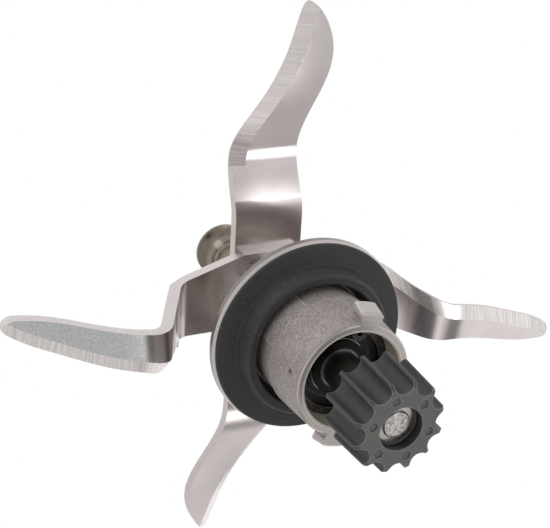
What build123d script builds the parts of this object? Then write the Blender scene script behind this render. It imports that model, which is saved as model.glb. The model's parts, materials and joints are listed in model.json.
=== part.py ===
"""Blade assembly of a kitchen blender: a cast bearing housing with a flange and a rubber
seal, a shaft on two sealed ball bearings, two crossed bent blades under a mushroom cap,
and a toothed drive coupling. Millimetres. The shaft axis is Z, +Z points to the blades,
+X along the upper blade, and z = 0 is the outer lower edge of the rubber seal."""
import os
from itertools import takewhile
from math import radians, tan

from build123d import *

# Fits between pieces
SLIDE_GAP = 0.02             # radial gap of pieces that are pressed or slid together
RUN_GAP = 0.10               # radial gap of a lip that runs on a turning piece
BALL_GAP = 0.15              # gap between a ball and its races
TURN_GAP = 0.6               # gap between faces that turn past each other

# Housing casting
BARREL_R = 10.5              # at the flange, tapering to RIM_R
RIM_R = 10.0
BARREL_DROP = 15.7           # rim of the barrel below z = 0
RIM_CHAMFER = 0.3
MOUTH_CHAMFER = 0.3
NECK_DROP = 6.3              # lower end of the shallow neck under the flange
NECK_CUT = 0.3
PAD_ARC = 48.0               # cast pads left standing in the neck
PAD_ANGLE = -48.0            # degrees from +X
FLANGE_R = 17.3
FLANGE_T = 1.6
FLANGE_CHAMFER = 0.6
BOSS_FOOT_R = 13.2
BOSS_TOP_R = 10.0
BOSS_H = 6.4
BOSS_EDGE = 0.8
STOP_T = 1.5                 # ledge above the upper bearing
STOP_LAND = 2.2              # radial width of that ledge
LUG_R = 12.6                 # bayonet lug at its back
LUG_LEAN = 0.7               # how much less it reaches at the rim
LUG_H = 3.6
LUG_ARC = 20.0               # degrees
LUG_ANGLE = 13.0             # degrees from +X
LUG_SLANT = 0.35             # how far its leading flank leans back towards the flange
LUG_EDGE = 0.3

# Rubber seal under the flange
SEAL_R = 17.0
SEAL_EDGE_T = 0.6
SEAL_STEP_R = 13.6
SEAL_COLLAR_R = 12.7
SEAL_COLLAR_DROP = 3.3
SEAL_LIP_GAP = 0.7
SEAL_LIP_H = 2.3
SEAL_ROUND = 0.5

# Ball bearings
BEARING_BORE_R = 3.5
BEARING_R = 8.5
BEARING_W = 5.0
BEARING_SPACING = 3.0
RING_T = 1.4
RING_EDGE = 0.2
BALL_R = 1.2
BALL_COUNT = 7
CAGE_T = 1.0
CAGE_H = 3.0
SHIELD_T = 0.5
SHIELD_SET = 0.1
SHIELD_RECESS = 0.3
SHIELD_BANDS = 5             # equal bands of its outer face
SHIELD_GROOVE = 0.17
SPACER_T = 1.1

# Circlip under the lower bearing
CIRCLIP_DEPTH = 4.7          # lower face of the circlip above the rim
CIRCLIP_T = 1.0
CIRCLIP_W = 1.8
CIRCLIP_SET = 0.45           # reach into its groove
CIRCLIP_GAP_ARC = 46.0
CIRCLIP_ANGLE = 6.0
CIRCLIP_EAR_R = 1.3
CIRCLIP_EAR_LAP = 0.7        # reach of an ear into the hoop
CIRCLIP_EYE_R = 0.55

# Shaft seal in the boss
LIP_SEAL_R = 7.0
LIP_SEAL_H = 3.8
LIP_SEAL_WALL = 0.8
LIP_T = 0.9

# Shaft
SHAFT_NECK_R = 4.6           # surface under the shaft seal
HUB_R = 8.4
HUB_EDGE = 0.6
SEAT_R = 4.0                 # blade seat, a round with two flats
SEAT_FLAT = 3.2
STUD_R = 2.5
STUD_LEN = 9.0
TAIL_R = 2.3                 # end that carries the coupling
TAIL_FLAT = 1.9
SHAFT_PROUD = 0.5            # lower end beyond the coupling's insert
SHAFT_EDGE = 0.2

# Blades
BLADE_T = 2.0
BLADE_Z = 16.0               # underside of the lower blade at the hub
EDGE_T = 0.35                # what the grinding leaves of the thickness
BEVEL_W = 2.4
GRIND_RUN_IN = 1.0           # length over which the bevel grows to its width
GRIND_STEPS = 60             # sections of the bevel along one arm
EDGE_PULL = 0.3              # how far an arm's edge keeps the strip's direction at its ends
EDGE_SAMPLES = 200

UPPER_HALF_W = 6.3
UPPER_BEND_R = 15.8
UPPER_RISE = 12.3            # degrees
UPPER_KNEE_R = 25.8
UPPER_SLOPE = 4.0            # degrees
UPPER_PITCH = 0.0            # degrees, leading edge low
UPPER_BEND_RADIUS = 20.0
UPPER_GRIND_R = 23.0         # start of the bevel
UPPER_TIP_R = 50.9
UPPER_TIP_Y = 8.1            # sweep of the tip from the centre line
# Edges of an arm: share of the way from the knee to the tip, and offset as a share of the tip's sweep
UPPER_LEAD = ((-0.1, -0.82), (0.06, -0.72), (0.22, -0.37), (0.42, 0.12), (0.64, 0.5), (0.87, 0.75))
UPPER_TRAIL = ((0.94, 1.2), (0.85, 1.36), (0.67, 1.48), (0.49, 1.35), (0.27, 0.98), (0.06, 0.7), (-0.1, 0.68))

LOWER_HUB_HALF_W = 9.0
LOWER_HUB_LEN = 5.3
LOWER_WAIST_R = 10.5
LOWER_LEAD_W = 4.9
LOWER_TRAIL_W = 5.2
LOWER_BEND_R = 17.45
LOWER_DROP = 63.1            # degrees
LOWER_KNEE_R = 26.2
LOWER_SLOPE = 4.5            # degrees
LOWER_PITCH = 14.0           # degrees, leading edge low
LOWER_BEND_RADIUS = 3.2
LOWER_GRIND_R = 18.0         # start of the bevel
LOWER_TIP_R = 51.6
LOWER_TIP_Y = 8.6
LOWER_LEAD = ((-0.26, -0.6), (-0.14, -0.42), (-0.05, -0.29), (0.11, -0.16), (0.32, 0), (0.52, 0.22), (0.73, 0.48),
              (0.93, 0.77))
LOWER_TRAIL = ((0.96, 1.13), (0.89, 1.15), (0.74, 1.09), (0.42, 0.83), (0.1, 0.62), (-0.08, 0.6), (-0.2, 0.62))

# Washer and cap over the blades
WASHER_R = 6.0
WASHER_T = 1.0
CAP_FOOT_R = 5.2
CAP_FOOT_H = 2.4
CAP_STEM_R = 3.3
CAP_NECK_R = 2.7
CAP_HEAD_R = 5.1
CAP_HEAD_Z = 37.2            # widest line of the head
CAP_FLARE_H = 3.8
CAP_RIM_T = 0.5
CAP_DOME_H = 2.0

# Drive coupling
TOOTH_COUNT = 12
COUPLING_BACK = 21.2         # below z = 0
COUPLING_FRONT = 31.2
TOOTH_R = 8.35
TOOTH_DEPTH = 2.0
VALLEY_R = 1.75
TOOTH_TIP_ROUND = 0.35
MOULD_DRAFT = 2.4            # degrees
TOOTH_END_ROUND = 1.4
TOOTH_BACK_ROUND = 0.6
TOOTH_ANGLE = 45.0           # degrees of one tooth from +X
WELL_R = 3.7
WELL_DEPTH = 2.0
PIT_COUNT = 6
PIT_R = 0.8
PIT_RING_R = 5.1
PIT_DEPTH = 0.25
INSERT_R = 3.2
INSERT_LEAD = 0.2            # front of the insert beyond the floor of the well
COLLAR_R = 3.2
COLLAR_FLANGE_R = 4.8
COLLAR_FLANGE_T = 1.0

# Levels along the axis and shared radii
rim_z = -BARREL_DROP
flange_z = SEAL_EDGE_T
flange_top = flange_z + FLANGE_T
boss_top = flange_top + BOSS_H
circlip_z = rim_z + CIRCLIP_DEPTH
low_bearing_z = circlip_z + CIRCLIP_T
spacer_z = low_bearing_z + BEARING_W
up_bearing_z = spacer_z + BEARING_SPACING
stop_z = up_bearing_z + BEARING_W
lip_seal_z = stop_z + STOP_T
hub_z = boss_top + TURN_GAP
upper_blade_z = BLADE_Z + BLADE_T
washer_z = upper_blade_z + BLADE_T
cap_z = washer_z + WASHER_T
well_z = -COUPLING_FRONT + WELL_DEPTH
insert_z = well_z - INSERT_LEAD
bore_r = BEARING_R + SLIDE_GAP
pitch_r = (BEARING_BORE_R + BEARING_R) / 2


def turned(*points):
    """Solid of revolution from (radius, height) points."""
    return revolve(Plane.XZ * make_face(Polyline(*points, close=True)))


def ring(inner, outer, z0, z1):
    """Plain ring from z0 to z1."""
    return turned((inner, z0), (outer, z0), (outer, z1), (inner, z1))


def disc(radius, z0, z1):
    """Plain cylinder from z0 to z1."""
    return extrude(Plane.XY.offset(z0) * Circle(radius), amount=z1 - z0)


def two_flats(radius, flat, z0, z1):
    """Round bar with two flats, each `flat` from the axis."""
    return extrude(Plane.XY.offset(z0) * (Circle(radius) & Rectangle(2 * radius, 2 * flat)), amount=z1 - z0)


def sector(points, middle, arc):
    """Part of a turned shape, `arc` degrees wide about the angle `middle`."""
    face = Plane.XZ * make_face(Polyline(*points, close=True))
    return Rot(0, 0, middle - arc / 2) * revolve(face, revolution_arc=arc)


def make_housing():
    neck_r = BARREL_R - NECK_CUT
    lug_foot = RIM_R - RIM_CHAMFER - LUG_EDGE
    body = turned(
        (bore_r + MOUTH_CHAMFER, rim_z), (RIM_R - RIM_CHAMFER, rim_z), (RIM_R, rim_z + RIM_CHAMFER),
        (BARREL_R, -NECK_DROP), (neck_r, -NECK_DROP + NECK_CUT), (neck_r, flange_z),
        (FLANGE_R - FLANGE_CHAMFER, flange_z), (FLANGE_R, flange_z + FLANGE_CHAMFER), (FLANGE_R, flange_top),
        (BOSS_FOOT_R, flange_top), (BOSS_TOP_R, boss_top - BOSS_EDGE), (BOSS_TOP_R - BOSS_EDGE, boss_top),
        (LIP_SEAL_R + SLIDE_GAP, boss_top), (LIP_SEAL_R + SLIDE_GAP, lip_seal_z),
        (BEARING_R - STOP_LAND, lip_seal_z), (BEARING_R - STOP_LAND, stop_z), (bore_r, stop_z),
        (bore_r, rim_z + MOUTH_CHAMFER))
    lug_top = rim_z + LUG_H
    lug = sector([(lug_foot, rim_z), (LUG_R - LUG_LEAN, rim_z), (LUG_R, lug_top), (lug_foot, lug_top)],
                 0, 2 * LUG_ARC)
    lug = split(lug, Plane(origin=(0, 0, rim_z), x_dir=(1, 0, 0), z_dir=(0, LUG_H, -LUG_SLANT)), keep=Keep.TOP)
    lug = chamfer(lug.faces().filter_by(GeomType.CONE)[0].edges(), LUG_EDGE)
    lug = Rot(0, 0, LUG_ANGLE - LUG_ARC / 2) * lug
    pad_r = neck_r - NECK_CUT
    pad = sector([(pad_r, -NECK_DROP), (BARREL_R, -NECK_DROP), (BARREL_R, flange_z), (pad_r, flange_z)],
                 PAD_ANGLE, PAD_ARC)
    for turn in (0, 180):
        body += Rot(0, 0, turn) * lug
        body += Rot(0, 0, turn) * pad
    return body - ring(bore_r - CIRCLIP_SET, bore_r + CIRCLIP_SET + SLIDE_GAP, circlip_z, low_bearing_z)


def make_bowl_seal():
    inner = BARREL_R + SLIDE_GAP
    lip = BARREL_R + SEAL_LIP_GAP
    low = -SEAL_COLLAR_DROP
    half = SEAL_ROUND / 2
    return turned(
        (inner, flange_z), (SEAL_R, flange_z), (SEAL_R, half), (SEAL_R - half, 0),
        (SEAL_STEP_R + half, -half), (SEAL_STEP_R, -SEAL_ROUND), (SEAL_COLLAR_R + half, low + SEAL_ROUND),
        (SEAL_COLLAR_R, low + half / 2), (SEAL_COLLAR_R - half, low), (lip + half, low), (lip, low + half),
        (lip, low + SEAL_LIP_H), (inner, low + SEAL_LIP_H + SEAL_LIP_GAP))


def race_track(z):
    """Cutter for the ball track in both rings of the bearing at z."""
    return Pos(0, 0, z + BEARING_W / 2) * Torus(pitch_r, BALL_R + BALL_GAP)


def make_outer_ring(z):
    inner = BEARING_R - RING_T
    seat_r = inner + SHIELD_RECESS
    top = z + BEARING_W
    seat = SHIELD_SET + SHIELD_T
    blank = turned(
        (seat_r, z), (BEARING_R - RING_EDGE, z), (BEARING_R, z + RING_EDGE), (BEARING_R, top - RING_EDGE),
        (BEARING_R - RING_EDGE, top), (seat_r, top), (seat_r, top - seat), (inner, top - seat), (inner, z + seat),
        (seat_r, z + seat))
    return blank - race_track(z)


def make_inner_ring(z):
    return ring(BEARING_BORE_R + SLIDE_GAP, BEARING_BORE_R + RING_T, z, z + BEARING_W) - race_track(z)


def ball_places(z):
    mid = Pos(0, 0, z + BEARING_W / 2)
    return [mid * Rot(0, 0, 360 * i / BALL_COUNT) * Pos(pitch_r, 0, 0) for i in range(BALL_COUNT)]


def make_balls(z):
    return Compound(children=[place * Sphere(BALL_R) for place in ball_places(z)])


def make_cage(z):
    mid = z + BEARING_W / 2
    cage = ring(pitch_r - CAGE_T / 2, pitch_r + CAGE_T / 2, mid - CAGE_H / 2, mid + CAGE_H / 2)
    for place in ball_places(z):
        cage -= place * Rot(0, 90, 0) * Cylinder(BALL_R + SLIDE_GAP, 2 * CAGE_T)
    return cage


def make_shield(back, outward):
    """Rubber bearing shield with two raised rings on its outer face."""
    inner = BEARING_BORE_R + RING_T + RUN_GAP
    outer = BEARING_R - RING_T + SHIELD_RECESS - SLIDE_GAP
    step = (outer - inner) / SHIELD_BANDS
    face = back + outward * SHIELD_T
    low = face - outward * SHIELD_GROOVE
    return turned(
        (inner, back), (outer, back), (outer, face), (outer - step, face), (outer - step, low),
        (outer - 2 * step, low), (outer - 2 * step, face), (inner + 2 * step, face), (inner + step, low),
        (inner, low))


def make_shields():
    """The four shields, two in each bearing."""
    shields = []
    for z in (low_bearing_z, up_bearing_z):
        shields.append(make_shield(z + SHIELD_SET + SHIELD_T, -1))
        shields.append(make_shield(z + BEARING_W - SHIELD_SET - SHIELD_T, 1))
    return Compound(children=shields)


def make_circlip():
    outer = bore_r + CIRCLIP_SET
    inner = outer - CIRCLIP_W
    top = circlip_z + CIRCLIP_T
    hoop = sector([(inner, circlip_z), (outer, circlip_z), (outer, top), (inner, top)],
                  CIRCLIP_ANGLE + 180, 360 - CIRCLIP_GAP_ARC)
    ends = [Rot(0, 0, CIRCLIP_ANGLE + side * CIRCLIP_GAP_ARC / 2) for side in (-1, 1)]
    ears = [end * Pos(inner + CIRCLIP_EAR_LAP - CIRCLIP_EAR_R, 0, 0) for end in ends]
    for ear in ears:
        hoop += ear * disc(CIRCLIP_EAR_R, circlip_z, top)
    for ear in ears:
        hoop -= ear * disc(CIRCLIP_EYE_R, circlip_z, top)
    return hoop


def make_shaft_seal():
    lip_r = SHAFT_NECK_R + RUN_GAP
    top = lip_seal_z + LIP_SEAL_H
    web = lip_seal_z + LIP_SEAL_WALL
    return turned(
        (lip_r + LIP_T / 2, lip_seal_z), (LIP_SEAL_R, lip_seal_z), (LIP_SEAL_R, top),
        (LIP_SEAL_R - LIP_SEAL_WALL, top), (LIP_SEAL_R - LIP_SEAL_WALL, web), (lip_r + LIP_T, web),
        (lip_r + LIP_T / 2, top - LIP_T), (lip_r, top - LIP_T), (lip_r, web))


def make_shaft():
    body = turned(
        (0, low_bearing_z), (BEARING_BORE_R, low_bearing_z), (BEARING_BORE_R, stop_z), (SHAFT_NECK_R, stop_z),
        (SHAFT_NECK_R, hub_z), (HUB_R - HUB_EDGE, hub_z), (HUB_R, hub_z + HUB_EDGE), (HUB_R, BLADE_Z),
        (0, BLADE_Z))
    body += two_flats(SEAT_R, SEAT_FLAT, BLADE_Z, washer_z)
    body += disc(STUD_R, washer_z, cap_z + STUD_LEN)
    body += two_flats(TAIL_R, TAIL_FLAT, insert_z, low_bearing_z)
    head = disc(TAIL_R, insert_z - SHAFT_PROUD, insert_z)
    return body + chamfer(head.edges().group_by(Axis.Z)[0], SHAFT_EDGE)


def arm_path(bend_r, rise, knee_r, slope, tip_r, bend_radius):
    """Centre line of one bent arm in the XZ plane, from the axis to just past its tip."""
    end_r = tip_r + BLADE_T
    knee_z = (knee_r - bend_r) * tan(radians(rise))
    end_z = knee_z + (end_r - knee_r) * tan(radians(slope))
    half = BLADE_T / 2
    return FilletPolyline((0, half), (bend_r, half), (knee_r, knee_z + half), (end_r, end_z + half),
                          radius=bend_radius)


def bent_strip(bend_r, rise, knee_r, slope, pitch, tip_r, bend_radius, width):
    """Sheet of the blade's thickness, bent on both sides of the axis: flat at the hub, rising or falling
    from bend_r, and folded at knee_r to a plate that is pitched."""
    half = BLADE_T / 2
    climb = tan(radians(rise))
    knee = Vector(knee_r, 0, half + (knee_r - bend_r) * climb)
    run = FilletPolyline((0, half), (bend_r, half), (tip_r, half + (tip_r - bend_r) * climb), radius=bend_radius)
    arm = split(extrude(Plane.XZ * trace(run, BLADE_T), amount=width, both=True), Plane.YZ, keep=Keep.TOP)
    arm_up = Vector(-climb, 0, 1).normalized()
    plate_up = Vector(-tan(radians(slope)), -tan(radians(pitch)), 1).normalized()
    fold = plate_up.cross(arm_up).normalized() * (1 if slope > rise else -1)
    plate = Plane(origin=knee, x_dir=fold, z_dir=plate_up) * Box(2 * width, 2 * tip_r, BLADE_T)
    mitre = Plane(origin=knee, x_dir=fold, z_dir=fold.cross(arm_up) + fold.cross(plate_up))
    arm = split(arm, mitre, keep=Keep.BOTTOM) + split(plate, mitre, keep=Keep.TOP)
    arm &= Box(4 * tip_r, width, 4 * tip_r)
    # The fold's two edges, from below to above
    turn = half if slope > rise else -half
    for low, radius in ((True, bend_radius + turn), (False, bend_radius - turn)):
        creases = arm.edges().filter_by(Axis(knee, fold))
        creases = creases.filter_by(lambda e: (e.center() - knee).cross(fold).length < BLADE_T)
        arm = fillet(creases.sort_by(Axis.Z)[0 if low else -1], radius)
    return arm + Rot(0, 0, 180) * arm


def arm_edge(knee_r, tip_r, tip_y, lead, trail, start, end):
    """Edge of one arm from `start` on its leading side round the tip to `end` on its trailing side."""
    places = [(knee_r + (tip_r - knee_r) * share, tip_y * sweep) for share, sweep in (*lead, (1, 1), *trail)]
    return Spline(start, *places, end, tangents=[(1, 0), (-1, 0)], tangent_scalars=[EDGE_PULL, EDGE_PULL])


def grinding_wedge(path, edge, first_r, knee_r, pitch, lead_r):
    """Cutter for the ground bevel under the leading edge of one arm, from first_r to past the tip.
    Past lead_r, where the edge turns into the rounded tip, the grinding runs straight on."""
    lead = list(takewhile(lambda p: p.X <= lead_r, (edge @ (i / EDGE_SAMPLES) for i in range(EDGE_SAMPLES + 1))))
    depth = BLADE_T - EDGE_T
    margin = BLADE_T
    inner = BEVEL_W * (1 + margin / depth)
    height = depth * (1 + margin / BEVEL_W)
    sections = []
    for i in range(GRIND_STEPS + 1):
        at = path @ (i / GRIND_STEPS)
        along = path % (i / GRIND_STEPS)
        low = Vector(at.X + along.Y * BLADE_T / 2, at.Y - along.X * BLADE_T / 2)
        if low.X < first_r:
            continue
        after = next((j for j, p in enumerate(lead) if p.X >= low.X), len(lead) - 1)
        p, q = lead[max(after - 1, 0)], lead[max(after, 1)]
        y = p.Y + (q.Y - p.Y) * (low.X - p.X) / (q.X - p.X)
        run_in = max(0, 1 - (low.X - first_r) / GRIND_RUN_IN)
        y -= BEVEL_W * run_in
        tilt = tan(radians(pitch)) * min(1, max(0, (low.X - knee_r) / BLADE_T + 0.5))
        frame = Plane(origin=(low.X, y, low.Y + y * tilt), x_dir=(0, 1, tilt), z_dir=(along.X, 0, along.Y))
        corners = Polyline((inner, -margin), (-margin, -margin), (-margin, height), close=True)
        sections.append(frame * make_face(corners))
    return loft(sections, ruled=True)


def make_blade(strip, outline, wedge, turn, z):
    blade = strip & extrude(outline, amount=strip.bounding_box().size.Z, both=True)
    blade -= wedge
    blade -= Rot(0, 0, 180) * wedge
    blade = Rot(0, 0, turn) * blade
    blade -= two_flats(SEAT_R + SLIDE_GAP, SEAT_FLAT + SLIDE_GAP, -BLADE_T, 2 * BLADE_T)
    return Pos(0, 0, z) * blade


def make_upper_blade():
    strip = bent_strip(UPPER_BEND_R, UPPER_RISE, UPPER_KNEE_R, UPPER_SLOPE, UPPER_PITCH, UPPER_TIP_R,
                       UPPER_BEND_RADIUS, 4 * UPPER_HALF_W)
    path = arm_path(UPPER_BEND_R, UPPER_RISE, UPPER_KNEE_R, UPPER_SLOPE, UPPER_TIP_R, UPPER_BEND_RADIUS)
    edge = arm_edge(UPPER_KNEE_R, UPPER_TIP_R, UPPER_TIP_Y, UPPER_LEAD, UPPER_TRAIL,
                    (UPPER_BEND_R, -UPPER_HALF_W), (UPPER_BEND_R, UPPER_HALF_W))
    half = [Line((0, -UPPER_HALF_W), (UPPER_BEND_R, -UPPER_HALF_W)), edge,
            Line((UPPER_BEND_R, UPPER_HALF_W), (0, UPPER_HALF_W))]
    outline = make_face(half + [Rot(0, 0, 180) * side for side in half])
    lead_r = UPPER_KNEE_R + (UPPER_TIP_R - UPPER_KNEE_R) * UPPER_LEAD[-1][0]
    wedge = grinding_wedge(path, edge, UPPER_GRIND_R, UPPER_KNEE_R, UPPER_PITCH, lead_r)
    return make_blade(strip, outline, wedge, 0, upper_blade_z)


def make_lower_blade():
    strip = bent_strip(LOWER_BEND_R, -LOWER_DROP, LOWER_KNEE_R, LOWER_SLOPE, LOWER_PITCH, LOWER_TIP_R,
                       LOWER_BEND_RADIUS, 4 * LOWER_HUB_HALF_W)
    path = arm_path(LOWER_BEND_R, -LOWER_DROP, LOWER_KNEE_R, LOWER_SLOPE, LOWER_TIP_R, LOWER_BEND_RADIUS)
    edge = arm_edge(LOWER_KNEE_R, LOWER_TIP_R, LOWER_TIP_Y, LOWER_LEAD, LOWER_TRAIL,
                    (LOWER_BEND_R, -LOWER_LEAD_W), (LOWER_BEND_R, LOWER_TRAIL_W))
    half = [Polyline((0, -LOWER_HUB_HALF_W), (LOWER_HUB_LEN, -LOWER_HUB_HALF_W), (LOWER_WAIST_R, -LOWER_LEAD_W),
                     (LOWER_BEND_R, -LOWER_LEAD_W)), edge,
            Polyline((LOWER_BEND_R, LOWER_TRAIL_W), (LOWER_HUB_LEN, LOWER_HUB_HALF_W), (0, LOWER_HUB_HALF_W))]
    outline = make_face(half + [Rot(0, 0, 180) * side for side in half])
    lead_r = LOWER_KNEE_R + (LOWER_TIP_R - LOWER_KNEE_R) * LOWER_LEAD[-1][0]
    wedge = grinding_wedge(path, edge, LOWER_GRIND_R, LOWER_KNEE_R, LOWER_PITCH, lead_r)
    return make_blade(strip, outline, wedge, -90, BLADE_Z)


def make_washer():
    return disc(WASHER_R, washer_z, cap_z) - disc(STUD_R + SLIDE_GAP, washer_z, cap_z)


def make_cap():
    bore = STUD_R + SLIDE_GAP
    bore_top = cap_z + STUD_LEN + WASHER_T
    stem_z = cap_z + CAP_FOOT_H
    flare_z = CAP_HEAD_Z - CAP_FLARE_H
    rim_top = CAP_HEAD_Z + CAP_RIM_T
    foot = Polyline((0, bore_top), (bore, bore_top), (bore, cap_z), (CAP_FOOT_R, cap_z), (CAP_FOOT_R, stem_z),
                    (CAP_STEM_R, stem_z + CAP_FOOT_R - CAP_STEM_R), (CAP_NECK_R, flare_z))
    flare = TangentArc((CAP_NECK_R, flare_z), (CAP_HEAD_R, CAP_HEAD_Z), tangent=(0, 1))
    rim = Line((CAP_HEAD_R, CAP_HEAD_Z), (CAP_HEAD_R, rim_top))
    dome = TangentArc((0, rim_top + CAP_DOME_H), (CAP_HEAD_R, rim_top), tangent=(1, 0))
    axis = Line((0, rim_top + CAP_DOME_H), (0, bore_top))
    return revolve(Plane.XZ * make_face([foot, flare, rim, dome, axis]))


def make_collar():
    """Flanged bush between the lower bearing and the coupling."""
    bore = TAIL_R + SLIDE_GAP
    step = low_bearing_z - COLLAR_FLANGE_T
    return turned((bore, -COUPLING_BACK), (COLLAR_R, -COUPLING_BACK), (COLLAR_R, step), (COLLAR_FLANGE_R, step),
                  (COLLAR_FLANGE_R, low_bearing_z), (bore, low_bearing_z))


def make_coupling():
    length = COUPLING_FRONT - COUPLING_BACK
    front_r = TOOTH_R - length * tan(radians(MOULD_DRAFT))
    valley = TOOTH_R - TOOTH_DEPTH + VALLEY_R
    teeth = Circle(TOOTH_R) - PolarLocations(valley, TOOTH_COUNT) * Circle(VALLEY_R)
    teeth = Rot(0, 0, TOOTH_ANGLE - 180 / TOOTH_COUNT) * fillet(teeth.vertices(), TOOTH_TIP_ROUND)
    sections = [Plane.XY.offset(-COUPLING_BACK) * teeth,
                Plane.XY.offset(-COUPLING_FRONT) * scale(teeth, front_r / TOOTH_R)]
    # The ends of the teeth are rounded by a turned blank just clear of their tips
    blank = turned((0, -COUPLING_BACK), (TOOTH_R + SLIDE_GAP, -COUPLING_BACK),
                   (front_r + SLIDE_GAP, -COUPLING_FRONT), (0, -COUPLING_FRONT))
    blank = fillet(blank.edges().filter_by(GeomType.CIRCLE).sort_by(Axis.Z)[0], TOOTH_END_ROUND)
    blank = fillet(blank.edges().filter_by(GeomType.CIRCLE).sort_by(Axis.Z)[-1], TOOTH_BACK_ROUND)
    body = loft(sections, ruled=True) & blank
    body -= disc(WELL_R, -COUPLING_FRONT, well_z)
    body -= disc(INSERT_R, well_z, -COUPLING_BACK)
    for i in range(PIT_COUNT):
        place = Rot(0, 0, TOOTH_ANGLE + 360 * i / PIT_COUNT) * Pos(PIT_RING_R, 0, 0)
        body -= place * disc(PIT_R, -COUPLING_FRONT, -COUPLING_FRONT + PIT_DEPTH)
    return body


def make_insert():
    bush = disc(INSERT_R - SLIDE_GAP, insert_z, -COUPLING_BACK)
    return bush - two_flats(TAIL_R + SLIDE_GAP, TAIL_FLAT + SLIDE_GAP, insert_z, -COUPLING_BACK)


parts = {
    "bearing_housing": make_housing(),
    "bowl_seal": make_bowl_seal(),
    "lower_bearing_outer_ring": make_outer_ring(low_bearing_z),
    "upper_bearing_outer_ring": make_outer_ring(up_bearing_z),
    "bearing_shields": make_shields(),
    "outer_ring_spacer": ring(BEARING_R - SPACER_T, BEARING_R, spacer_z, up_bearing_z),
    "retaining_circlip": make_circlip(),
    "shaft_seal": make_shaft_seal(),
    "drive_shaft": make_shaft(),
    "lower_bearing_inner_ring": make_inner_ring(low_bearing_z),
    "upper_bearing_inner_ring": make_inner_ring(up_bearing_z),
    "inner_ring_sleeve": ring(BEARING_BORE_R + SLIDE_GAP, BEARING_BORE_R + SPACER_T, spacer_z, up_bearing_z),
    "lower_blade": make_lower_blade(),
    "upper_blade": make_upper_blade(),
    "blade_washer": make_washer(),
    "cap_nut": make_cap(),
    "coupling_collar": make_collar(),
    "drive_coupling": make_coupling(),
    "coupling_insert": make_insert(),
    "lower_bearing_cage": make_cage(low_bearing_z),
    "lower_bearing_balls": make_balls(low_bearing_z),
    "upper_bearing_cage": make_cage(up_bearing_z),
    "upper_bearing_balls": make_balls(up_bearing_z),
}

os.makedirs("parts", exist_ok=True)
for name, shape in parts.items():
    export_step(shape, f"parts/{name}.step")
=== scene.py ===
"""Looks of a blender blade assembly: satin steel blades, a cast housing, rubber seal and plastic coupling,
seen from below against white. Metres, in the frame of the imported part."""
import json
from math import cos, pi, radians, sin

import bpy
from mathutils import Matrix, Vector


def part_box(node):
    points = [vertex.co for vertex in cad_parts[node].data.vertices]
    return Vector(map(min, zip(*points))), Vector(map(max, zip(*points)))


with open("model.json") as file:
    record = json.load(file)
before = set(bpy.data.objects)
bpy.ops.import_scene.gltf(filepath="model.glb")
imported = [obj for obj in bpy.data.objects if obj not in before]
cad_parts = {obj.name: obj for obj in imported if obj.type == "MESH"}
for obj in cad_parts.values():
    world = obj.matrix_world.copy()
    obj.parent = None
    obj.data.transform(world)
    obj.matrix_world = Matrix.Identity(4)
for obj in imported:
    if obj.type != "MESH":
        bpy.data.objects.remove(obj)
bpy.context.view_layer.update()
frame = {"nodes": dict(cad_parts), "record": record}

MM = 0.001

# Camera: below the part, looking up at the coupling
CAMERA_AT = Vector((0.11635, -0.10504, -0.19681))
CAMERA_RIGHT = Vector((0.05337, 0.90512, -0.42179))
CAMERA_UP = Vector((0.90608, 0.13365, 0.40144))
CAMERA_BACK = CAMERA_RIGHT.cross(CAMERA_UP)
CAMERA_LENS = 98.18          # millimetres on a sensor of SENSOR_W
SENSOR_W = 36.0
CLIP_START = 0.01

# Surroundings
FLOOR_Z = -0.42
FLOOR_SIZE = 6.0
FLOOR_TINT = (0.93, 0.92, 0.915)
FLOOR_ROUGHNESS = 0.9
AMBIENT = 0.67               # world's light on matt surfaces

# Places with a finish of their own on the housing, the bush and the shaft, in millimetres
FLANGE_Z = 0.6
RIM_TOP_Z = -15.35
BORE_R = 9.0
LUG_FROM_R = 11.0
LUG_TOP_Z = -7.0
CASTING_PIT = (2.2, -10.0, -12.8)
COLLAR_R = 3.2
SHAFT_END_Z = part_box("drive_shaft")[0][2] / MM
SHAFT_END_R = 2.3

# Lower blade's knee, in millimetres from the axis, and the way the underside and the bevel of the arm
# towards +Y face on its drop and on its plate
KNEE_FROM = 20.0
KNEE_TO = 32.0
KNEE_MARGIN = 1.5
DROP_FACES = (0.0, -0.89, -0.45)
PLATE_FACES = (-0.24, 0.08, -0.97)
DROP_BEVEL_FACES = (0.56, -0.64, -0.54)
PLATE_BEVEL_FACES = (0.35, 0.22, -0.91)

# Upper blade's knee on the arm towards -X, in millimetres from the axis, and the slopes in degrees on both
# sides of it
DRAWN_FROM = 22.5
DRAWN_TO = 30.0
DRAWN_MARGIN = 1.0
DRAWN_RISE = 14.5
DRAWN_SLOPE = 4.0

# Lengths of the blades where the finish, or the painted light on the upper blade's bevel, changes, in millimetres
# from the axis
HUB_END = (17.0, 19.0)       # brushed hub
# Painted highlight: the upper blade's bevel is painted brighter further out
LIT_BEVEL_SPAN = (26.0, 32.0)   # upper blade's bevel, brighter further out
WORN_PLATE = (-30.0, -25.0)  # lower blade's plate towards -Y, frosted by wear
SCUFFED_PLATE = (24.0, 28.0)  # its plate towards +Y, frosted a little
SCUFFING = 0.15

# Limits for telling faces apart by their normals, from the first doubt to certain
LEADING = (0.08, 0.2)        # turned towards the leading edge
UNDERSIDE = (0.33, 0.43)     # turned downwards at all
FLAT = (0.7, 0.8)            # turned mostly downwards
LEVEL = (0.3, 0.4)           # not a cut edge
CONTRAST = (0.3, 0.7)        # the part of a noise's range that carries its pattern

# Polish
SHEET_ROUGHNESS = 0.12
KNEE_ROUGHNESS = 0.24
HUB_ROUGHNESS = 0.22
BEVEL_ROUGHNESS = 0.27
CUT_ROUGHNESS = 0.4
CAST_METALLIC = 0.55
CAST_ROUGHNESS = 0.5
TURNED_ROUGHNESS = 0.3
BORE_METALLIC = 0.1
SOFT_SPECULAR = 0.35         # of rubber and plastic

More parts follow.
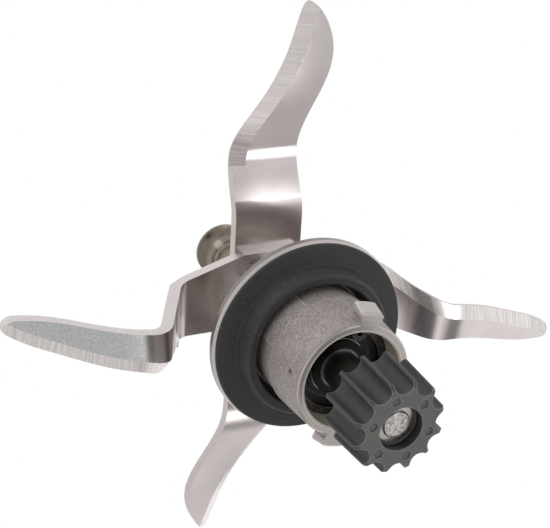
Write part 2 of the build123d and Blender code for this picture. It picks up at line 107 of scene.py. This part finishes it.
# Colours of the blades, as dull and bright where there are two
SHEET = ((0.665, 0.61, 0.60), (0.715, 0.66, 0.65))
# The next two colours are painted glints: bright specks and dots for the sparkle of polished steel
SHEET_GLINT = (0.80, 0.78, 0.77)
GLINT_DOT = (0.95, 0.95, 0.95)
FROST = ((0.585, 0.585, 0.585), (0.745, 0.735, 0.73))
# Painted glints: white specks on the frosted sheet
FROST_GLINT = (1.0, 1.0, 1.0)
LOWER_GROUND = ((0.70, 0.645, 0.63), (0.92, 0.88, 0.87))
# The upper blade's bevel as a shaded and a lit copy: painted shade nearer the hub, painted highlight further out
UPPER_GROUND_SHADED = ((0.48, 0.43, 0.42), (0.70, 0.645, 0.63))
UPPER_GROUND_LIT = ((0.88, 0.81, 0.79), (1.0, 0.95, 0.93))
LOWER_SHEARED = ((0.60, 0.56, 0.55), (0.74, 0.70, 0.69))
UPPER_SHEARED = ((0.50, 0.455, 0.445), (0.60, 0.555, 0.545))

# Colours of the housing
CAST = ((0.295, 0.257, 0.247), (0.465, 0.418, 0.402))
CAST_PATCH = (0.47, 0.43, 0.412)
# Painted highlight: the lugs painted paler
CAST_LUG_HIGHLIGHT = (0.66, 0.62, 0.60)
# Edges painted pale: rubbed wear and painted highlight
CAST_EDGE_WEAR_AND_GLINT = (0.70, 0.66, 0.64)
# Painted shade: the pit painted dark
CAST_PIT_SHADE = (0.10, 0.085, 0.08)
# The flange as a lit copy, and a shaded copy for its faces that do not face downwards: painted shade
FLANGE = ((0.62, 0.57, 0.555), (0.74, 0.69, 0.675))
FLANGE_SHADE = ((0.22, 0.19, 0.175), (0.30, 0.262, 0.245))
RIM = ((0.50, 0.455, 0.44), (0.64, 0.595, 0.58))
BORE_WALL = ((0.60, 0.53, 0.45), (0.86, 0.79, 0.70))

# Colours of dust with painted glints, of painted shade in hollows, and of rubbed spring steel with painted highlight
# Dust, its specks also painted glints
DUST_AND_GLINT = (0.42, 0.42, 0.41)
# Painted shade for hollows
HOLLOW_SHADE = (0.016, 0.016, 0.016)
# Edges of spring steel painted bright: rubbed wear and painted highlight
SPRING_EDGE_WEAR_AND_GLINT = (0.45, 0.42, 0.40)


class Look:
    """A node material under construction, with its shader and coordinates in millimetres."""

    def __init__(self, name, metallic, roughness):
        self.material = bpy.data.materials.new(name)
        self.material.use_nodes = True
        self.tree = self.material.node_tree
        self.shader = self.tree.nodes["Principled BSDF"]
        self.feed("Metallic", metallic)
        self.feed("Roughness", roughness)
        coords = self.add("ShaderNodeTexCoord")
        self.normal = coords.outputs["Normal"]
        self.place = self.add("ShaderNodeVectorMath", {0: coords.outputs["Object"], "Scale": 1 / MM},
                              operation="SCALE").outputs[0]

    def put(self, value, socket):
        """A node's output is linked to the socket, anything else is set on it."""
        if isinstance(value, bpy.types.NodeSocket):
            self.tree.links.new(value, socket)
        else:
            socket.default_value = value

    def feed(self, name, value):
        """Input of the shader."""
        self.put(value, self.shader.inputs[name])

    def add(self, kind, inputs=None, **settings):
        """New node with its settings and inputs."""
        made = self.tree.nodes.new(kind)
        for key, value in settings.items():
            setattr(made, key, value)
        for key, value in (inputs or {}).items():
            self.put(value, made.inputs[key])
        return made

    def math(self, operation, a, b=0.0):
        return self.add("ShaderNodeMath", {0: a, 1: b}, operation=operation).outputs[0]

    def times(self, first, *others):
        for other in others:
            first = self.math("MULTIPLY", first, other)
        return first

    def fade(self, value, low, high, start=0.0, end=1.0, course="SMOOTHSTEP"):
        """Value mapped from low..high to start..end, and constant beyond."""
        inputs = {"Value": value, "From Min": low, "From Max": high, "To Min": start, "To Max": end}
        return self.add("ShaderNodeMapRange", inputs, interpolation_type=course).outputs[0]

    def within(self, value, low, high, margin):
        """1 from low to high, and 0 further away than the margin."""
        return self.times(self.fade(value, low - margin, low), self.fade(value, high, high + margin, 1.0, 0.0))

    def blend(self, factor, first, second):
        """Colour between first and second."""
        first, second = (value if isinstance(value, bpy.types.NodeSocket) else (*value, 1)
                         for value in (first, second))
        return self.add("ShaderNodeMix", {"Factor": factor, 6: first, 7: second}, data_type="RGBA").outputs[2]

    def between(self, factor, first, second):
        """Vector between first and second."""
        return self.add("ShaderNodeMix", {"Factor": factor, 4: first, 5: second}, data_type="VECTOR").outputs[1]

    def vector(self, x, y, z):
        return self.add("ShaderNodeCombineXYZ", {0: x, 1: y, 2: z}).outputs[0]

    def parts_of(self, vector):
        return self.add("ShaderNodeSeparateXYZ", {0: vector}).outputs

    def height(self):
        return self.parts_of(self.place)[2]

    def radius(self):
        x, y, _ = self.parts_of(self.place)
        return self.math("SQRT", self.math("ADD", self.times(x, x), self.times(y, y)))

    def noise(self, scale, detail=3.0, stretch=(1, 1, 1)):
        """Noise with features of about 1/scale millimetres."""
        at = self.add("ShaderNodeVectorMath", {0: self.place, 1: stretch}, operation="MULTIPLY").outputs[0]
        return self.add("ShaderNodeTexNoise", {"Vector": at, "Scale": scale, "Detail": detail}).outputs[0]

    def stripes(self, along, detail=3.0):
        """Noise that changes with one value only."""
        inputs = {"W": along, "Scale": 1.0, "Detail": detail}
        return self.add("ShaderNodeTexNoise", inputs, noise_dimensions="1D").outputs[0]

    def rings(self, scale):
        """Noise that runs in rings about the axis, with `scale` features a millimetre along radius and height."""
        return self.stripes(self.times(self.math("ADD", self.radius(), self.height()), scale))

    def dots(self, scale, inner, outer, strength):
        """Round dots of the given strength, scattered about 1/scale millimetres apart."""
        cells = self.add("ShaderNodeTexVoronoi", {"Vector": self.place, "Scale": scale}).outputs["Distance"]
        return self.fade(cells, inner, outer, strength, 0.0)

    def hollows(self, reach):
        """1 in the open, less where the surface within `reach` millimetres closes in."""
        return self.add("ShaderNodeAmbientOcclusion", {"Distance": reach * MM}, samples=8).outputs["AO"]

    def edges(self, radius):
        """1 along the edges of a piece, found from how far the surface turns within `radius` millimetres."""
        soft = self.add("ShaderNodeBevel", {"Radius": radius * MM}, samples=6).outputs[0]
        true = self.add("ShaderNodeNewGeometry").outputs["Normal"]
        alike = self.add("ShaderNodeVectorMath", {0: soft, 1: true}, operation="DOT_PRODUCT").outputs["Value"]
        return self.fade(alike, 0.82, 0.985, 1.0, 0.0)

    def turned(self, factor, faces):
        """Surface's own normal, or by `factor` the one given in the piece's axes."""
        faces = self.add("ShaderNodeVectorTransform", {0: faces}, vector_type="NORMAL", convert_from="OBJECT",
                         convert_to="WORLD").outputs[0]
        mixed = self.between(factor, self.add("ShaderNodeNewGeometry").outputs["Normal"], faces)
        return self.add("ShaderNodeVectorMath", {0: mixed}, operation="NORMALIZE").outputs[0]

    def vary_roughness(self, pattern, roughness, by):
        """Roughness that follows a noise, by so much to both sides."""
        self.feed("Roughness", self.fade(pattern, *CONTRAST, roughness - by, roughness + by))

    def bump(self, height, depth, normal=None):
        """Relief of `depth` millimetres from a height between 0 and 1, on the surface's own normal or another."""
        made = self.add("ShaderNodeBump", {"Height": height, "Distance": depth * MM})
        if normal:
            self.put(normal, made.inputs["Normal"])
        self.feed("Normal", made.outputs[0])


def drawn_knee(look, bevel, under):
    """Normal of the lower blade's underside, turning slowly round the knee as in sheet drawn over a wide former,
    and how far a place lies in the knee."""
    y = look.parts_of(look.place)[1]
    arm = look.math("SIGN", y)
    out = look.math("ABSOLUTE", y)
    turn = look.fade(out, KNEE_FROM, KNEE_TO, course="LINEAR")
    sheet = look.between(turn, DROP_FACES, PLATE_FACES)
    ground = look.between(turn, DROP_BEVEL_FACES, PLATE_BEVEL_FACES)
    faces = look.parts_of(look.between(bevel, sheet, ground))
    faces = look.vector(look.times(faces[0], arm), look.times(faces[1], arm), faces[2])
    zone = look.times(look.within(out, KNEE_FROM, KNEE_TO, KNEE_MARGIN), under)
    return look.turned(zone, faces), zone


def drawn_rise(look, bevel, down):
    """Normal of the upper blade's underside, turning slowly round the knee of the arm towards -X."""
    out = look.times(look.parts_of(look.place)[0], -1.0)
    slope = look.fade(out, DRAWN_FROM, DRAWN_TO, radians(DRAWN_RISE), radians(DRAWN_SLOPE), "LINEAR")
    faces = look.vector(look.times(look.math("SINE", slope), -1.0), 0.0, look.times(look.math("COSINE", slope), -1.0))
    zone = look.times(look.within(out, DRAWN_FROM, DRAWN_TO, DRAWN_MARGIN), look.fade(down, *FLAT),
                      look.math("SUBTRACT", 1.0, bevel))
    return look.turned(zone, faces)


def sheet_colour(look, speckle):
    """Cloudy sheet, with painted glints: bright specks and scattered bright dots."""
    sheet = look.blend(look.fade(look.noise(0.12, 2.0), 0.35, 0.65), *SHEET)
    # painted glints: bright specks on the sheet
    sheet = look.blend(look.fade(speckle, 0.64, 0.8, 0.0, 0.5), sheet, SHEET_GLINT)
    # painted glints: scattered bright dots
    glint_dots = look.times(look.dots(0.8, 0.05, 0.1, 0.8), look.fade(look.noise(0.2, 2.0), 0.45, 0.6))
    return look.blend(glint_dots, sheet, GLINT_DOT)


def worn_sheet(look, sheet, under):
    """Sheet of the lower blade, frosted by wear under its plates, with white specks on the frost painted as glints.
    """
    y = look.parts_of(look.place)[1]
    worn = look.math("ADD", look.fade(y, *WORN_PLATE, 1.0, 0.0), look.fade(y, *SCUFFED_PLATE, 0.0, SCUFFING))
    frosted = look.blend(look.fade(look.noise(3.6, 4.0), 0.36, 0.64), *FROST)
    # painted glints: white specks on the frost
    frosted = look.blend(look.fade(look.noise(4.0, 1.0), 0.67, 0.74), frosted, FROST_GLINT)
    return look.blend(look.times(worn, under), sheet, frosted)


def blade_steel(name, along, across, lead, lower):
    """Polished sheet steel. The bevel under each leading edge is ground across, and the cut edges are matt.

    `along` and `across` are the arms' axes, and `lead` is the side, seen along an arm, that its bevel faces.
    `lower` says which of the two blades it is."""
    look = Look(name, 1.0, SHEET_ROUGHNESS)
    arm = look.parts_of(look.place)[along]
    out = look.math("ABSOLUTE", arm)
    faces = look.parts_of(look.normal)
    down = look.times(faces[2], -1.0)
    under = look.fade(down, *UNDERSIDE)
    leading = look.times(faces[across], look.math("SIGN", arm), lead)
    bevel = look.times(look.fade(leading, *LEADING), under)
    cut = look.fade(look.math("ABSOLUTE", faces[2]), *LEVEL, 1.0, 0.0)
    cross_grain = [0.08, 0.08, 0.08]
    cross_grain[along] = 2.6
    lines = look.noise(1.4, 2.0, cross_grain)
    grain = look.fade(lines, *CONTRAST)
    speckle = look.noise(5.0, 2.0)
    sheet = sheet_colour(look, speckle)
    polish = look.fade(bevel, 0, 1, SHEET_ROUGHNESS, BEVEL_ROUGHNESS)
    polish = look.math("MAXIMUM", polish, look.fade(cut, 0, 1, 0.0, CUT_ROUGHNESS))
    polish = look.math("ADD", polish, look.fade(speckle, 0.4, 0.7, 0.0, 0.03))
    if lower:
        sheet = worn_sheet(look, sheet, under)
        ground = look.blend(grain, *LOWER_GROUND)
        sheared = LOWER_SHEARED
        normal, knee = drawn_knee(look, bevel, under)
        polish = look.math("MAXIMUM", polish, look.fade(knee, 0, 1, 0.0, KNEE_ROUGHNESS))
    else:
        # bevel painted darker near the hub and brighter further out: painted shade and painted highlight
        ground = look.blend(look.fade(out, *LIT_BEVEL_SPAN), look.blend(grain, *UPPER_GROUND_SHADED),
                            look.blend(grain, *UPPER_GROUND_LIT))
        sheared = UPPER_SHEARED
        normal = drawn_rise(look, bevel, down)
    edge = look.blend(look.fade(speckle, *CONTRAST), *sheared)
    look.feed("Base Color", look.blend(cut, look.blend(bevel, sheet, ground), edge))
    look.feed("Roughness", look.math("MAXIMUM", polish, look.fade(out, *HUB_END, HUB_ROUGHNESS, 0.0)))
    look.bump(look.math("ADD", look.times(lines, bevel), look.times(speckle, 0.06)), 0.005, normal)
    return look.material


def casting_colour(look, radius, height, grain, pit):
    """Mottled casting with edges painted pale, partly rubbed wear and partly painted highlight, lugs painted pale as
    painted highlight, and the pit painted dark as painted shade.
    """
    lug = look.times(look.fade(radius, LUG_FROM_R, LUG_FROM_R + 0.3),
                     look.fade(height, LUG_TOP_Z, LUG_TOP_Z + 0.5, 1.0, 0.0))
    cast = look.blend(look.fade(grain, *CONTRAST), *CAST)
    cast = look.blend(look.fade(look.noise(0.3, 2.0), 0.4, 0.7, 0.0, 0.4), cast, CAST_PATCH)
    # painted highlight: lugs painted paler
    cast = look.blend(look.times(lug, 0.8), cast, CAST_LUG_HIGHLIGHT)
    # edges painted pale: rubbed wear and painted highlight
    cast = look.blend(look.edges(0.5), cast, CAST_EDGE_WEAR_AND_GLINT)
    # painted shade: the pit painted dark
    return look.blend(pit, cast, CAST_PIT_SHADE)


def machined_colour(look, turned, flange, rim, bore):
    """Turned flange, rim and wall of the bore; the flange's faces that do not face downwards are painted darker, a
    painted shade.
    """
    down = look.times(look.parts_of(look.normal)[2], -1.0)
    # painted shade: the flange's faces that do not face downwards
    side = look.times(flange, look.fade(down, 0.3, 0.5, 1.0, 0.0))
    ring = look.blend(rim, look.blend(turned, *FLANGE), look.blend(turned, *RIM))
    ring = look.blend(side, ring, look.blend(turned, *FLANGE_SHADE))
    return look.blend(bore, ring, look.blend(turned, *BORE_WALL))


def cast_metal(name):
    """Rough casting with a pit, turned at its flange, rim and bore, with edges rubbed bright and painted with
    highlight, and with painted light and shade on its lugs, pit and flange.
    """
    look = Look(name, CAST_METALLIC, CAST_ROUGHNESS)
    radius = look.radius()
    height = look.height()
    flange = look.fade(height, FLANGE_Z, FLANGE_Z + 0.1)
    rim = look.fade(height, RIM_TOP_Z - 0.1, RIM_TOP_Z, 1.0, 0.0)
    bore = look.fade(radius, BORE_R, BORE_R + 0.1, 1.0, 0.0)
    machined = look.math("MAXIMUM", look.math("MAXIMUM", flange, rim), bore)
    grain = look.noise(2.6, 4.0)
    lumps = look.noise(1.0, 3.0, (1.0, 1.0, 0.6))
    turned = look.fade(look.rings(5.0), *CONTRAST)
    away = look.add("ShaderNodeVectorMath", {0: look.place, 1: CASTING_PIT}, operation="DISTANCE").outputs["Value"]
    pit = look.fade(away, 0.25, 0.45, 1.0, 0.0)
    cast = casting_colour(look, radius, height, grain, pit)
    look.feed("Base Color", look.blend(machined, cast, machined_colour(look, turned, flange, rim, bore)))
    look.feed("Metallic", look.fade(bore, 0, 1, CAST_METALLIC, BORE_METALLIC))
    look.feed("Roughness", look.fade(machined, 0, 1, CAST_ROUGHNESS, TURNED_ROUGHNESS))
    rough = look.math("ADD", look.times(grain, 0.7), lumps)
    rough = look.math("SUBTRACT", rough, look.times(pit, 2.0))
    rough = look.times(rough, look.math("SUBTRACT", 1.0, machined))
    look.bump(look.math("ADD", rough, look.times(turned, 0.02)), 0.2)
    return look.material


def rubber(name, dark, light, roughness, speck):
    """Moulded rubber with faint rings about the axis and specks of dust, here and there in patches, which also stand
    for glints: painted highlights.
    """
    look = Look(name, 0.0, roughness)
    look.feed("Specular IOR Level", SOFT_SPECULAR)
    rings = look.stripes(look.times(look.radius(), 2.2), 2.0)
    mottle = look.noise(0.5, 3.0)
    body = look.blend(look.times(look.math("ADD", rings, mottle), 0.5), dark, light)
    # specks of dust, also painted glints
    dust_and_glint = look.times(look.dots(1.7, 0.05, 0.15, speck), look.fade(look.noise(0.3, 2.0), 0.51, 0.63))
    look.feed("Base Color", look.blend(dust_and_glint, body, DUST_AND_GLINT))
    look.vary_roughness(mottle, roughness, 0.06)
    look.bump(look.math("ADD", look.times(rings, 0.5), look.noise(6.0, 2.0)), 0.03)
    return look.material


# Its worn colour is also painted on the front face as painted light
def plastic(name, dark, light, worn, roughness):
    """Moulded glass-filled plastic, finely mottled, with painted shade in its hollows, the front face painted paler
    as painted light, and edges painted paler as rubbed wear and painted highlight.
    """
    look = Look(name, 0.0, roughness)
    look.feed("Specular IOR Level", SOFT_SPECULAR)
    mottle = look.noise(2.5, 4.0)
    clouds = look.noise(0.3, 2.0)
    body = look.blend(look.times(look.math("ADD", mottle, clouds), 0.5), dark, light)
    # painted shade: darker where the surface closes in
    body = look.blend(look.fade(look.hollows(3.0), 0.5, 0.95, 0.85, 0.0), body, HOLLOW_SHADE)
    # painted light: faces turned straight down painted paler
    lit_front = look.fade(look.parts_of(look.normal)[2], -0.97, -0.9, 0.3, 0.0)
    body = look.blend(lit_front, body, worn)
    # edges painted paler: rubbed wear and painted highlight
    wear = look.times(look.edges(0.42), look.fade(mottle, 0.3, 0.6, 0.3, 1.0))
    look.feed("Base Color", look.blend(wear, body, worn))
    look.vary_roughness(mottle, roughness, 0.07)
    look.bump(look.noise(7.0, 3.0), 0.02)
    return look.material


def turned_metal(name, dark, light, roughness):
    """Metal turned about the axis, with fine tool lines."""
    look = Look(name, 1.0, roughness)
    tool = look.rings(4.0)
    clouds = look.noise(0.6, 3.0)
    look.feed("Base Color", look.blend(look.fade(look.math("ADD", tool, clouds), 0.7, 1.3), dark, light))
    look.vary_roughness(clouds, roughness, 0.05)
    look.bump(tool, 0.01)
    return look.material


def collar_metal(name, sleeve, flange, roughness):
    """Bush with a bare sleeve and a blackened flange that is turned in fine rings."""
    look = Look(name, 1.0, roughness)
    outer = look.fade(look.radius(), COLLAR_R + 0.1, COLLAR_R + 0.4)
    rings = look.rings(7.0)
    tool = look.fade(rings, 0.35, 0.65)
    black = look.blend(tool, flange, [3 * shade for shade in flange])
    bare = look.blend(tool, sleeve, [1.5 * shade for shade in sleeve])
    look.feed("Base Color", look.blend(outer, bare, black))
    look.vary_roughness(rings, roughness, 0.06)
    look.bump(rings, 0.02)
    return look.material


def shaft_metal(name, dark, light, roughness):
    """Turned shaft with a stippled lower end, in the light colour."""
    look = Look(name, 1.0, roughness)
    end = look.times(look.fade(look.height(), SHAFT_END_Z + 0.1, SHAFT_END_Z + 0.2, 1.0, 0.0),
                     look.fade(look.radius(), SHAFT_END_R - 0.45, SHAFT_END_R - 0.2, 1.0, 0.0))
    grain = look.noise(1.8, 3.0)
    body = look.blend(look.fade(grain, 0.35, 0.65), dark, light)
    look.feed("Base Color", look.blend(end, light, body))
    look.vary_roughness(grain, roughness, 0.06)
    look.bump(look.times(grain, end), 0.12)
    return look.material


def spring_metal(name, dark, light, roughness):
    """Oiled spring steel, mottled, with edges painted bright: rubbed wear and painted highlight."""
    look = Look(name, 1.0, roughness)
    grain = look.noise(1.8, 3.0)
    body = look.blend(look.fade(grain, 0.35, 0.65), dark, light)
    # edges painted bright: rubbed wear and painted highlight
    look.feed("Base Color", look.blend(look.edges(0.15), body, SPRING_EDGE_WEAR_AND_GLINT))
    look.vary_roughness(grain, roughness, 0.06)
    look.bump(grain, 0.03)
    return look.material


slots = {
    "cast_housing": cast_metal("cast_housing"),
    "seal_rubber": rubber("seal_rubber", (0.024, 0.0245, 0.0245), (0.046, 0.047, 0.047), 0.5, 0.9),
    "shield_rubber": rubber("shield_rubber", (0.010, 0.010, 0.010), (0.020, 0.0195, 0.0195), 0.28, 0.1),
    "lip_rubber": rubber("lip_rubber", (0.012, 0.012, 0.013), (0.022, 0.022, 0.023), 0.45, 0.2),
    "coupling_plastic": plastic("coupling_plastic", (0.043, 0.044, 0.044), (0.074, 0.076, 0.076),
                                (0.25, 0.25, 0.245), 0.42),
    "cage_nylon": plastic("cage_nylon", (0.62, 0.58, 0.47), (0.74, 0.70, 0.58), (0.80, 0.77, 0.66), 0.4),
    "bearing_steel": turned_metal("bearing_steel", (0.52, 0.51, 0.50), (0.62, 0.61, 0.60), 0.22),
    "washer_steel": turned_metal("washer_steel", (0.48, 0.45, 0.43), (0.58, 0.55, 0.53), 0.3),
    "collar_steel": collar_metal("collar_steel", (0.22, 0.212, 0.206), (0.012, 0.012, 0.012), 0.34),
    "insert_steel": turned_metal("insert_steel", (0.55, 0.50, 0.46), (0.70, 0.66, 0.62), 0.22),
    "cap_nickel": turned_metal("cap_nickel", (0.20, 0.174, 0.143), (0.265, 0.235, 0.195), 0.24),
    "ball_steel": turned_metal("ball_steel", (0.60, 0.60, 0.60), (0.68, 0.68, 0.68), 0.08),
    "spring_steel": spring_metal("spring_steel", (0.05, 0.046, 0.043), (0.10, 0.093, 0.088), 0.35),
    "shaft_steel": shaft_metal("shaft_steel", (0.36, 0.33, 0.315), (0.74, 0.71, 0.69), 0.3),
}
blades = {
    "upper_blade": blade_steel("blade_steel_upper", 0, 1, -1.0, False),
    "lower_blade": blade_steel("blade_steel_lower", 1, 0, 1.0, True),
}

node_slot = {part["node"]: part["material_slot"] for part in frame["record"]["subparts"]}
for name, piece in frame["nodes"].items():
    finish = blades.get(name) or slots[node_slot[name]]
    for place in piece.material_slots:
        place.material = finish

# Camera
view = bpy.data.cameras.new("camera")
view.lens = CAMERA_LENS
view.sensor_width = SENSOR_W
view.sensor_fit = "HORIZONTAL"
view.clip_start = CLIP_START
camera = bpy.data.objects.new("camera", view)
bpy.context.collection.objects.link(camera)
axes = Matrix((CAMERA_RIGHT, CAMERA_UP, CAMERA_BACK)).transposed()
camera.matrix_world = Matrix.Translation(CAMERA_AT) @ axes.to_4x4()
bpy.context.scene.camera = camera


def matt(name, colour, roughness):
    """Plain material of the surroundings."""
    made = bpy.data.materials.new(name)
    made.use_nodes = True
    shader = made.node_tree.nodes["Principled BSDF"]
    shader.inputs["Base Color"].default_value = (*colour, 1)
    shader.inputs["Roughness"].default_value = roughness
    return made


def panel(name, data, at, aim, roll):
    """Object at `at` that faces `aim`, turned in its plane by `roll` degrees and out of the picture."""
    made = bpy.data.objects.new(name, data)
    bpy.context.collection.objects.link(made)
    upright = (at - aim).to_track_quat("Z", "Y").to_matrix().to_4x4()
    made.matrix_world = Matrix.Translation(at) @ upright @ Matrix.Rotation(radians(roll), 4, "Z")
    made.visible_camera = False
    return made


def soft_light(name, at, aim, width, height, brightness, roll=0):
    """Area lamp; a brightness of 1 is that of the white background."""
    lamp = bpy.data.lights.new(name, "AREA")
    lamp.shape = "RECTANGLE"
    lamp.size = width
    lamp.size_y = height
    lamp.energy = brightness * pi * width * height
    panel(name, lamp, at, aim, roll)


def card(name, at, aim, width, height, grey, roll=0):
    """Matt card for the polished steel to mirror."""
    corners = [(x * width / 2, y * height / 2, 0) for x, y in ((-1, -1), (1, -1), (1, 1), (-1, 1))]
    mesh = bpy.data.meshes.new(name)
    mesh.from_pydata(corners, [], [(0, 1, 2, 3)])
    mesh.materials.append(matt(name, grey, 1.0))
    piece = panel(name, mesh, at, aim, roll)
    piece.visible_diffuse = False
    piece.visible_shadow = False


def from_camera(right, up, back, distance):
    """Place at a distance from the part, in a direction given as the camera sees it."""
    return (CAMERA_RIGHT * right + CAMERA_UP * up + CAMERA_BACK * back).normalized() * distance


def off(place, direction, distance):
    """Place at a distance from another one."""
    return place + Vector(direction) * distance


CENTRE = Vector((0, 0, 0))
UPPER_BENDS = Vector((0.022, 0, 0.02))       # bends of the upper blade's arm towards +X
UPPER_SLOPE = Vector((0.036, 0.004, 0.021))  # the same arm beyond them
UPPER_KNEE = Vector((-0.025, -0.004, 0.02))  # knee of its other arm
FAR_SLOPE = Vector((-0.037, -0.005, 0.021))  # that arm beyond the knee
LOWER_KNEE = Vector((-0.003, 0.026, 0.001))  # knee of the lower blade's arm towards +Y
LOWER_PLATE = Vector((0.006, -0.038, 0))     # its other arm

DARK = (0.05, 0.045, 0.045)
BEND_GREY = (0.22, 0.22, 0.22)
KNEE_GREY = (0.2, 0.195, 0.19)
UPPER_RISE_GREY = (0.3, 0.29, 0.28)
LOWER_RISE_GREY = (0.3, 0.29, 0.29)
SLOPE_GREY = (0.72, 0.69, 0.68)
PLATE_GREY = (0.78, 0.79, 0.795)

# Lamps and cards: place, what it faces, width, height, brightness or grey, and roll
soft_light("key_light", from_camera(-0.7, 0.9, 0.5, 0.45), CENTRE, 0.35, 0.35, 1.0)
soft_light("fill_light", from_camera(0.75, -0.25, 0.75, 0.5), CENTRE, 0.4, 0.4, 1.1)
soft_light("side_light", Vector((-0.144, 0.32, -0.192)), CENTRE, 0.42, 0.2, 0.35)
soft_light("bend_light", Vector((0.0055, 0.102, -0.208)), UPPER_BENDS, 0.027, 0.021, 3.5)
card("bend_card", Vector((0.004, 0.1025, -0.2095)), UPPER_BENDS, 0.044, 0.036, BEND_GREY)
soft_light("upper_knee_light", off(UPPER_KNEE, (-0.751, 0.371, -0.546), 0.24), UPPER_KNEE, 0.03, 0.017, 2.2)
soft_light("upper_slope_light", Vector((-0.261, 0.119, -0.217)), FAR_SLOPE, 0.12, 0.12, 0.17)
card("upper_slope_card", Vector((-0.03, 0.112, -0.2)), UPPER_SLOPE, 0.05, 0.06, SLOPE_GREY)
card("upper_knee_card", off(UPPER_KNEE, (-0.69, 0.371, -0.62), 0.25), UPPER_KNEE, 0.022, 0.0175, KNEE_GREY)
card("upper_rise_card", off(UPPER_KNEE, (-0.80, 0.371, -0.47), 0.25), UPPER_KNEE, 0.05, 0.03, UPPER_RISE_GREY)
soft_light("lower_knee_light", off(LOWER_KNEE, (-0.66, -0.41, -0.63), 0.12), LOWER_KNEE, 0.026, 0.04, 0.6, 22)
card("lower_knee_card", off(LOWER_KNEE, (-0.59, -0.67, -0.44), 0.06), LOWER_KNEE, 0.026, 0.03, DARK, -37)
card("lower_rise_card", off(LOWER_KNEE, (-0.74, 0.12, -0.66), 0.06), LOWER_KNEE, 0.026, 0.03, LOWER_RISE_GREY, 22)
soft_light("bevel_light", off(LOWER_KNEE, (0.454, 0.279, -0.847), 0.25), LOWER_KNEE, 0.12, 0.12, 1.2)
card("lower_bevel_card", off(LOWER_KNEE, (0.63, -0.34, -0.70), 0.1), LOWER_KNEE, 0.045, 0.06, DARK)
card("plate_card", off(LOWER_PLATE, (-0.01, 0.115, -0.99), 0.21), LOWER_PLATE, 0.07, 0.046, PLATE_GREY)
card("camera_card", off(CAMERA_AT, CAMERA_BACK, 0.02), CENTRE, 0.09, 0.09, DARK)

# Grey panels all round above the part, for the tops of the blades to mirror
PANEL_STEP = 30              # degrees
PANEL_RISE = 0.58            # height of a panel over its distance from the axis
PANEL_FROM_AXIS = 0.5
PANEL_AIM_FROM_AXIS = 0.1
PANEL_W = 0.262
PANEL_H = 0.11
PANEL_GREY = (0.35, 0.34, 0.34)
for turn in range(0, 360, PANEL_STEP):
    outward = Vector((cos(radians(turn)), sin(radians(turn)), PANEL_RISE))
    card("panel_%03d" % turn, outward * PANEL_FROM_AXIS, outward * PANEL_AIM_FROM_AXIS, PANEL_W, PANEL_H, PANEL_GREY)

# World: white to the eye and in reflections, softer on matt surfaces
world = bpy.data.worlds.new("world")
bpy.context.scene.world = world
world.use_nodes = True
sky = world.node_tree
rays = sky.nodes.new("ShaderNodeLightPath")
seen = rays.outputs["Is Camera Ray"]
for kind in ("Is Glossy Ray", "Is Transmission Ray"):
    either = sky.nodes.new("ShaderNodeMath")
    either.operation = "MAXIMUM"
    sky.links.new(seen, either.inputs[0])
    sky.links.new(rays.outputs[kind], either.inputs[1])
    seen = either.outputs[0]
level = sky.nodes.new("ShaderNodeMapRange")
level.inputs["To Min"].default_value = AMBIENT
level.inputs["To Max"].default_value = 1.0
sky.links.new(seen, level.inputs["Value"])
sky.nodes["Background"].inputs["Color"].default_value = (1, 1, 1, 1)
sky.links.new(level.outputs[0], sky.nodes["Background"].inputs["Strength"])

# Floor, well below the part so that the view from underneath stays clear
bpy.ops.mesh.primitive_plane_add(size=FLOOR_SIZE, location=(0, 0, FLOOR_Z))
floor = bpy.context.object
floor.name = "floor"
floor.data.materials.append(matt("pale_floor", FLOOR_TINT, FLOOR_ROUGHNESS))

bpy.context.scene.view_settings.view_transform = "Standard"
